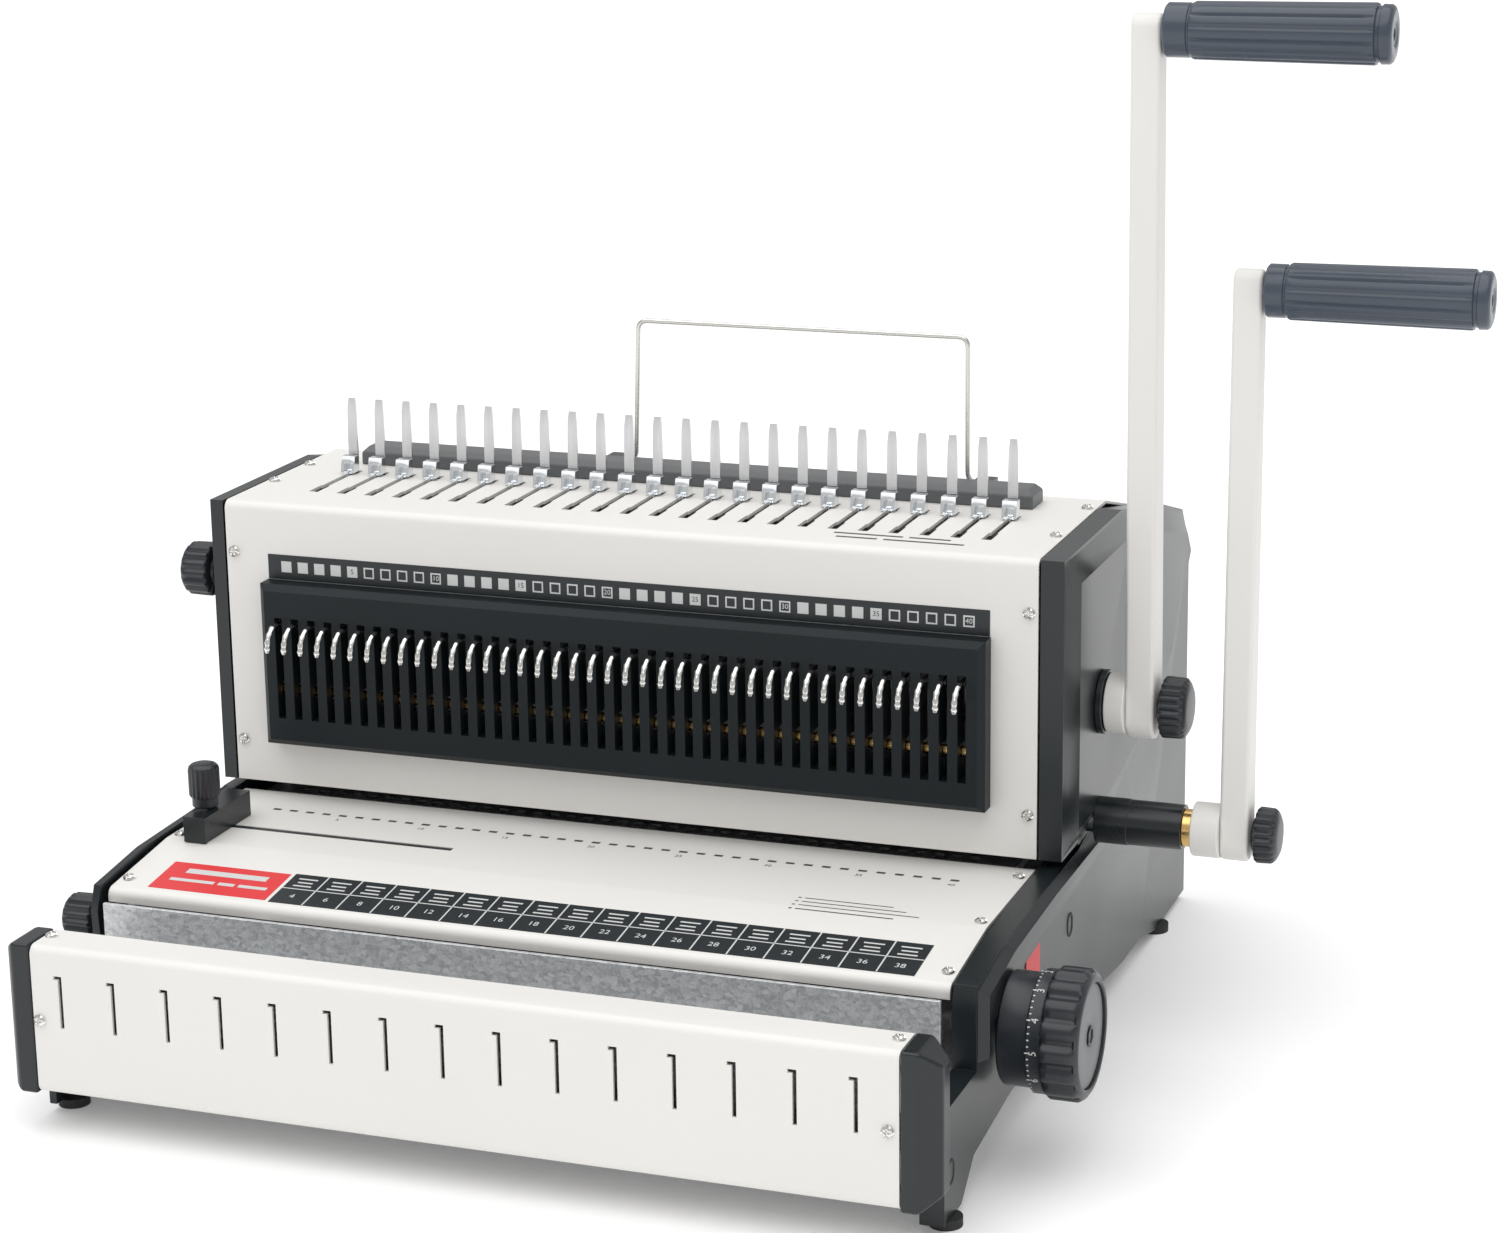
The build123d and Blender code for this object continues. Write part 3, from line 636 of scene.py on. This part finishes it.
# %% pull hooks
SADDLE_SIZE, SADDLE_Y, SADDLE_Z = (7.0, 6.2, 7.8), 267.4, 239.9
BACK_STEP, LEG_WALL, LEG_DEPTH = 0.0018, 0.0018, 0.0034
saddles = bmesh.new()
for x in comb_x:
    cube = add_block(saddles, SADDLE_SIZE, at(x, SADDLE_Y, SADDLE_Z))
    for vert in cube:
        if vert.co.z > at(0, 0, 240).z and vert.co.y < at(0, 266, 0).y:
            vert.co.y += BACK_STEP
    front = min({f for v in cube for f in v.link_faces}, key=lambda f: f.calc_center_median().y)
    bmesh.ops.inset_region(saddles, faces=[front], thickness=LEG_WALL, depth=0)
    for vert in front.verts:
        low = vert.co.z < front.calc_center_median().z
        vert.co.z += -0.0016 if low else -0.0019
    pushed = bmesh.ops.extrude_discrete_faces(saddles, faces=[front])["faces"]
    bmesh.ops.translate(saddles, verts=pushed[0].verts, vec=(0, LEG_DEPTH, 0))
    add_block(saddles, (2.4, 6, 12), at(x, 265.5, 231))
add_block(saddles, (342, 19, 9), at(0, 258, 221))
bmesh.ops.recalc_face_normals(saddles, faces=saddles.faces)
saddle_piece = make_piece("comb_puller_saddles", saddles, CHROME, "comb_puller", 30)
edge = saddle_piece.modifiers.new("edge", "BEVEL")
edge.width = 0.0004
edge.segments = 2
edge.limit_method = "ANGLE"
edge.angle_limit = radians(40)
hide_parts("comb_puller")
print("pull hooks", len(comb_x))


# %% [markdown]
# ## Wire hooks
# Forty small nickel hooks hold the wire loops. Each comes out of the panel, runs forward and turns down.
# Its rings swell and shrink along the centre line, which gives the pressed beads that catch the light.

# %% centre line of a wire hook
WIRE_PITCH, WIRE_COUNT = 25.4 / 3, 40
wire_x = [(i - (WIRE_COUNT - 1) / 2) * WIRE_PITCH for i in range(WIRE_COUNT)]
HOOK_TOP, HOOK_ROOT_Y, BEND_Y, BEND_R, BEND_STEPS = 181.0, 201.0, 185.5, 9.0, 10
END_STEPS, END_STEP, BEAD_TURN = 4, 0.9, 2.1


def hook_line():
    """One hook as (y, z, turn, half width): forward, a bend, then beads down the front."""
    line = [(HOOK_ROOT_Y, HOOK_TOP, 0.0, 1.1), (BEND_Y, HOOK_TOP, 0.0, 1.15)]
    for step in range(1, BEND_STEPS + 1):
        turn = pi / 2 * 0.9 * step / BEND_STEPS
        line.append((BEND_Y - BEND_R * sin(turn), HOOK_TOP - BEND_R * (1 - cos(turn)), turn,
                     1.25 + 0.2 * cos(step * BEAD_TURN)))
    y, z, turn, _ = line[-1]
    for step in range(1, END_STEPS + 1):
        reach = END_STEP * step
        point = 0.45 if step == END_STEPS else 0
        line.append((y - reach * cos(turn), z - reach * sin(turn), turn,
                     1.3 + 0.22 * cos((BEND_STEPS + step) * BEAD_TURN) - point))
    return line


print("rings in a hook", len(hook_line()))


# %% [markdown]
# Each hook is built ring by ring, each ring is bridged to the one before, and both ends are filled. One
# block behind the panel carries them all.

# %% wire hooks
RING_POINTS, FLATNESS = 10, 0.78
hooks = bmesh.new()
for x in wire_x:
    rings = []
    for y, z, turn, half in hook_line():
        ring = bmesh.ops.create_circle(hooks, segments=RING_POINTS, radius=1, cap_ends=False)["verts"]
        size = Matrix.Diagonal((half / 1000, half * FLATNESS / 1000, 1, 1))
        place = Matrix.Translation(at(x, y, z)) @ Matrix.Rotation(turn + pi / 2, 4, "X") @ size
        bmesh.ops.transform(hooks, verts=ring, matrix=place)
        edges = {e for v in ring for e in v.link_edges if all(w in ring for w in e.verts)}
        if rings:
            bmesh.ops.bridge_loops(hooks, edges=list(rings[-1] | edges))
        rings.append(edges)
    bmesh.ops.holes_fill(hooks, edges=list(rings[0] | rings[-1]), sides=0)
add_block(hooks, (344, 3, 12), at(0, 203.5, 181))
bmesh.ops.recalc_face_normals(hooks, faces=hooks.faces)
hook_piece = make_piece("wire_hooks_nickel", hooks, NICKEL, "frame", 40)
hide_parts("wire_hooks")
print("hooks", len(wire_x))


# %% [markdown]
# ## Wire paper support
# The support is one bent zinc wire. A curve with a round bevel follows its line, and each corner
# is a bent arc rather than a mitre. The curve is then made a mesh so that it stands in its place.

# %% wire support
ARC_STEPS = 8


def bent_wire(name, corners, radius, bend, material, body):
    """A round wire along straight runs with arcs between them, as a mesh."""
    curve = bpy.data.curves.new(name, "CURVE")
    curve.dimensions = "3D"
    curve.bevel_depth = radius / 1000
    curve.bevel_resolution = 5
    curve.use_fill_caps = True
    path = [corners[0]]
    for before, corner, after in zip(corners, corners[1:], corners[2:]):
        into = (corner - before).normalized()
        out = (after - corner).normalized()
        first, last = corner - into * bend / 1000, corner + out * bend / 1000
        for step in range(ARC_STEPS + 1):
            t = step / ARC_STEPS
            path.append((1 - t) ** 2 * first + 2 * t * (1 - t) * corner + t ** 2 * last)
    path.append(corners[-1])
    spline = curve.splines.new("POLY")
    spline.points.add(len(path) - 1)
    for point, place in zip(spline.points, path):
        point.co = (*place, 1)
    holder = bpy.data.objects.new(name, curve)
    mesh = bpy.data.meshes.new_from_object(holder)
    shape = bmesh.new()
    shape.from_mesh(mesh)
    bmesh.ops.recalc_face_normals(shape, faces=shape.faces)
    bpy.data.objects.remove(holder)
    bpy.data.meshes.remove(mesh)
    return make_piece(name, shape, material, body, 60)


stand_low, stand_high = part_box("paper_stand")
stand_y = (stand_low.y + stand_high.y) / 2
PIVOT_Z, STAND_TOP, STAND_R, STAND_BEND = 240.5, 308.5, 1.2, 5.0
stand_outline = ((-48, PIVOT_Z), (-33.5, PIVOT_Z), (-31.0, STAND_TOP),
                 (131.5, STAND_TOP), (131.5, PIVOT_Z), (146, PIVOT_Z))
stand_corners = [Vector((MIDDLE_X + x / 1000, stand_y, z / 1000)) for x, z in stand_outline]
stand = bent_wire("paper_stand_wire", stand_corners, STAND_R, STAND_BEND, ZINC_WIRE,
                  "paper_stand")
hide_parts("paper_stand")
print("stand top", round(stand_high.z * 1000, 1), "mm")


# %% [markdown]
# ## Screws
# Nickel pan-head screws hold the covers. A head is a domed disc spun about its axis, with a cross recess
# pressed into the dome's middle.

# %% screw head
DOME = [(0, 0), (0, 2.85), (0.7, 2.8), (1.3, 2.5), (1.75, 1.9), (1.95, 1.2), (1.98, 1.0), (1.98, 0)]
CROSS_HALF, CROSS_FROM, CROSS_DEPTH = 0.42, 0.0012, 0.0009


def screw_head(target, place, direction):
    """Adds a domed head with a sunk cross to a bmesh."""
    turn = Vector((1, 0, 0)).rotation_difference(Vector(direction)).to_matrix().to_4x4()
    made = turned(Vector((0, 0, 0)), DOME, 32)
    for vert in made.verts:
        y, z = vert.co.y * 1000, vert.co.z * 1000
        if vert.co.x > CROSS_FROM and (abs(y) < CROSS_HALF or abs(z) < CROSS_HALF):
            vert.co.x -= CROSS_DEPTH
    bmesh.ops.transform(made, verts=made.verts, matrix=Matrix.Translation(place) @ turn)
    add_whole(target, made)


print("screw head", DOME[1][1] * 2, "mm across")


# %% [markdown]
# The heads stand on the front bar, on the housing's front and top, and on the deck.

# %% pan head screws
FORWARD, UP = (0, -1, 0), (0, 0, 1)
screw_places = [((x, 0, 52.6), FORWARD) for x in (-188.5, 191)]
screw_places += [((x, 13.5, 86.0), UP) for x in (-188.4, 191.5)]
screw_places += [((s * 192, 199.5, z), FORWARD) for s in (-1, 1) for z in (119.5, 211.0)]
screw_places += [((s * 190.5, y, z), UP) for s in (-1, 1)
                 for y, z in ((84.0, 88.3), (131.5, 93.4), (191.0, 93.4))]
screw_places += [((x, y, 235.0), UP) for x, y in ((192, 298), (-192, 280), (-192, 243), (192, 243))]
screws = bmesh.new()
for place, direction in screw_places:
    screw_head(screws, at(*place), direction)
screw_piece = make_piece("machine_screws_heads", screws, NICKEL, "frame", 35)
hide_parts("machine_screws")
print("screws", len(screw_places))


# %% [markdown]
# ## Printed labels
# The black strip above the hooks carries one square for each wire loop, in groups of five filled and five
# open, with small numbers. The deck has a red title strip, a two-row size table, a ruler of
# ticks and a few lines of print. Words are left as plain bars.

# %% hook strip
SQUARE, SQUARE_Z, SQUARE_LINE, MARK_SIZE = 5.2, 205.4, 0.7, 3.3
STRIP_LIFT, MARK_LIFT = 0.00006, 0.00005
strip_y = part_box("spacing_label")[0].y - STRIP_LIFT


def outline_square(target, x0, x1, y0, y1, line, move):
    """Adds the outline of a square as four bars."""
    rectangle(target, x0, x1, y0, y0 + line, move)
    rectangle(target, x0, x1, y1 - line, y1, move)
    rectangle(target, x0, x0 + line, y0 + line, y1 - line, move)
    rectangle(target, x1 - line, x1, y0 + line, y1 - line, move)


def on_strip(x, z):
    """A point just in front of the strip."""
    return Vector((MIDDLE_X + x / 1000, strip_y, z / 1000))


squares = bmesh.new()
marks = bmesh.new()
for index, x in enumerate(wire_x):
    filled = index % 10 < 5
    x0, x1 = x - SQUARE / 2, x + SQUARE / 2
    z0, z1 = SQUARE_Z - SQUARE / 2, SQUARE_Z + SQUARE / 2
    if filled:
        rectangle(squares, x0, x1, z0, z1, on_strip)
    else:
        outline_square(squares, x0, x1, z0, z1, SQUARE_LINE, on_strip)
    if index % 5 == 4:
        target = marks if filled else squares
        lift = Vector((0, -MARK_LIFT if filled else 0, 0))
        add_shape(target, text_shape(str(index + 1), MARK_SIZE),
                  lambda a, b, x=x, lift=lift: on_strip(x + a, SQUARE_Z + b) + lift)
print_piece("hook_strip_squares", squares, INK_WHITE, "frame")
print_piece("hook_strip_numbers", marks, INK_BLACK, "frame")
print("squares", len(wire_x))


# %% [markdown]
# On the deck, print has to follow the slope up to the crease, so a small function gives the height at any
# depth, and each mark is laid a hair above it.

# %% size table print
CREASE, LIP, LIP_Z, DECK_Z = 126.0, 72.0, 86.9, 93.4
PRINT_LIFT, TABLE_LIFT, TABLE_TEXT_LIFT = 0.06, 0.26, 0.27


def on_deck(x, y, lift=PRINT_LIFT):
    """A point on the deck's top, lifted a little."""
    z = DECK_Z if y >= CREASE else LIP_Z + (DECK_Z - LIP_Z) * (y - LIP) / (CREASE - LIP)
    return at(x, y, z + lift)


def on_line(x, y):
    """A point of a rule of the table."""
    return on_deck(x, y, TABLE_LIFT)


def on_label(x, y):
    """A point of the print on a label, just above the rules."""
    return on_deck(x, y, TABLE_TEXT_LIFT)


table = bmesh.new()
TABLE_X0, TABLE_X1, TABLE_Y0, TABLE_Y1, COLUMNS, RULE = -118.0, 178.0, 77.0, 105.0, 18, 0.35
step = (TABLE_X1 - TABLE_X0) / COLUMNS
middle_y = (TABLE_Y0 + TABLE_Y1) / 2
for column in range(1, COLUMNS):
    x = TABLE_X0 + column * step
    rectangle(table, x - RULE, x + RULE, TABLE_Y0, TABLE_Y1, on_line)
rectangle(table, TABLE_X0, TABLE_X1, middle_y - RULE, middle_y + RULE, on_line)
for column in range(COLUMNS):
    x = TABLE_X0 + (column + 0.5) * step
    add_shape(table, text_shape(str(4 + 2 * column), 5.0), lambda a, b, x=x: on_label(x + a, 84.0 + b))
    for row_y, half in ((100.6, 4.6), (97.2, 3.6), (94.0, 4.4)):
        rectangle(table, x - half, x + half, row_y - 0.55, row_y + 0.55, on_label)
print_piece("size_table_print", table, INK_WHITE, "frame")
print("columns", COLUMNS)


# %% [markdown]
# The red title has two lines of bars. A ruler of ticks follows the punches, and a few fine lines stand
# for the notes on the deck and on the housing's top.

# %% title, ruler and notes
title = bmesh.new()
for x0, x1, y, half in ((-168, -128, 96.5, 2.2), (-172, -150, 87.6, 1.3), (-148, -140, 87.6, 1.3),
                        (-138, -124, 87.6, 1.3)):
    rectangle(title, x0, x1, y - half, y + half, on_label)
print_piece("title_print", title, INK_WHITE, "frame")

ticks = bmesh.new()
for index, x in enumerate(wire_x):
    rectangle(ticks, x - 2.0, x + 2.0, 177.4, 179.6, on_deck)
    if index % 5 == 4:
        add_shape(ticks, text_shape(str(index + 1), 3.6), lambda a, b, x=x: on_deck(x + a, 172.5 + b))
for row in range(4):
    y = 137.5 - row * 4.4
    rectangle(ticks, 110, 150 + (row * 7) % 17, y - 0.4, y + 0.4, on_deck)
    rectangle(ticks, 107, 108.4, y - 0.5, y + 0.5, on_deck)
for row, (x0, x1) in enumerate(((96, 128), (131, 150), (99, 118), (121, 158))):
    y = 222.0 if row < 2 else 215.5
    rectangle(ticks, x0, x1, y - 1.0, y + 1.0, lambda a, b: at(a, b, 235.06))
print_piece("deck_print", ticks, INK_GREY, "frame")
print("ticks", len(wire_x))


# %% [markdown]
# The guide's lock slides in a black plastic track under the slot. The side moulding is held by two sunk
# screws, each in a dark oval well. Both are small, but they break up large plain faces.

# %% guide track and side wells
track = bmesh.new()
add_block(track, (121.5, 3.6, 1.8), at(-123.8, 150.4, 92.3))
bmesh.ops.bevel(track, geom=track.edges[:], offset=0.0003, segments=2, profile=0.5, affect="EDGES",
                material=-1)
make_piece("guide_track", track, INK_BLACK, "frame", 40)

wells = bmesh.new()
WELL_X, WELL_RIM, WELL_STRETCH = 207.5, 4.2, 0.0012
well_outline = [(-0.2, 0), (-0.2, 2.6), (0.1, 2.9), (0.25, 3.1), (0.3, WELL_RIM),
                (-0.1, WELL_RIM + 0.4), (-0.3, WELL_RIM + 0.4), (-0.3, 0)]
for y, z in ((215.0, 65.0), (31.0, 24.5)):
    well = turned(at(WELL_X, y, z), well_outline, 40)
    for vert in well.verts:
        vert.co.z += WELL_STRETCH * (1 if vert.co.z > at(0, 0, z).z else -1)
    add_whole(wells, well)
make_piece("side_wells", wells, RUBBER, "frame", 40)
print("guide track and side wells made")


# %% [markdown]
# ## Stage, light and camera
# The machine stands on a plain white floor in soft studio light: a bright room all around, and one
# large soft sun from above and a little in front, which makes the tops brighter than the fronts and
# leaves a soft contact shadow.

# %% floor
floor_mesh = bmesh.new()
bmesh.ops.create_grid(floor_mesh, x_segments=1, y_segments=1, size=30)
mesh = bpy.data.meshes.new("floor")
floor_mesh.to_mesh(mesh)
floor_mesh.free()
floor_material, _, floor_shader = start_material("studio_floor", (0.93, 0.93, 0.93), 0.9)
floor_shader.inputs["Specular IOR Level"].default_value = 0.1
floor_shader.inputs["Emission Color"].default_value = (1, 1, 1, 1)
floor_shader.inputs["Emission Strength"].default_value = 0.12
mesh.materials.append(floor_material)
floor = bpy.data.objects.new("floor", mesh)
scene.collection.objects.link(floor)
print("floor", [round(side) for side in floor.dimensions], "m")


# %% [markdown]
# The room's light is even and white. The sun is very wide, so that its shadows have no edge.

# %% light
ROOM_LIGHT, SUN_LIGHT, SUN_WIDTH = 0.56, 2.1, radians(85)
world = bpy.data.worlds.new("studio")
scene.world = world
world.use_nodes = True
room = world.node_tree.nodes["Background"]
room.inputs["Color"].default_value = (1, 1, 1, 1)
room.inputs["Strength"].default_value = ROOM_LIGHT

sun = bpy.data.lights.new("soft_top", "SUN")
sun.energy = SUN_LIGHT
sun.angle = SUN_WIDTH
sun_object = bpy.data.objects.new("soft_top", sun)
sun_object.rotation_euler = (radians(8), radians(-4), 0)
scene.collection.objects.link(sun_object)
scene.view_settings.view_transform = "Standard"


# %% [markdown]
# The camera stands to the right and above, with a long lens so that the perspective is mild.

# %% camera
AZIMUTH, ELEVATION, ROLL = radians(20.03), radians(15.13), radians(-0.8)
CAMERA_PLACE, LENS, SENSOR = (577.3, -1208.8, 604.8), 83.94, 36.0
back = Vector((sin(AZIMUTH) * cos(ELEVATION), -cos(AZIMUTH) * cos(ELEVATION), sin(ELEVATION)))
level = Vector((cos(AZIMUTH), sin(AZIMUTH), 0))
upward = back.cross(level)
right = level * cos(ROLL) + upward * sin(ROLL)
top = upward * cos(ROLL) - level * sin(ROLL)
camera_data = bpy.data.cameras.new("camera")
camera_data.lens = LENS
camera_data.sensor_width = SENSOR
camera_data.sensor_fit = "HORIZONTAL"
camera = bpy.data.objects.new("camera", camera_data)
turn = Matrix((right, top, back)).transposed().to_4x4()
camera.matrix_world = Matrix.Translation(at(*CAMERA_PLACE)) @ turn
scene.collection.objects.link(camera)
scene.camera = camera
print("camera", [round(v, 3) for v in camera.location])
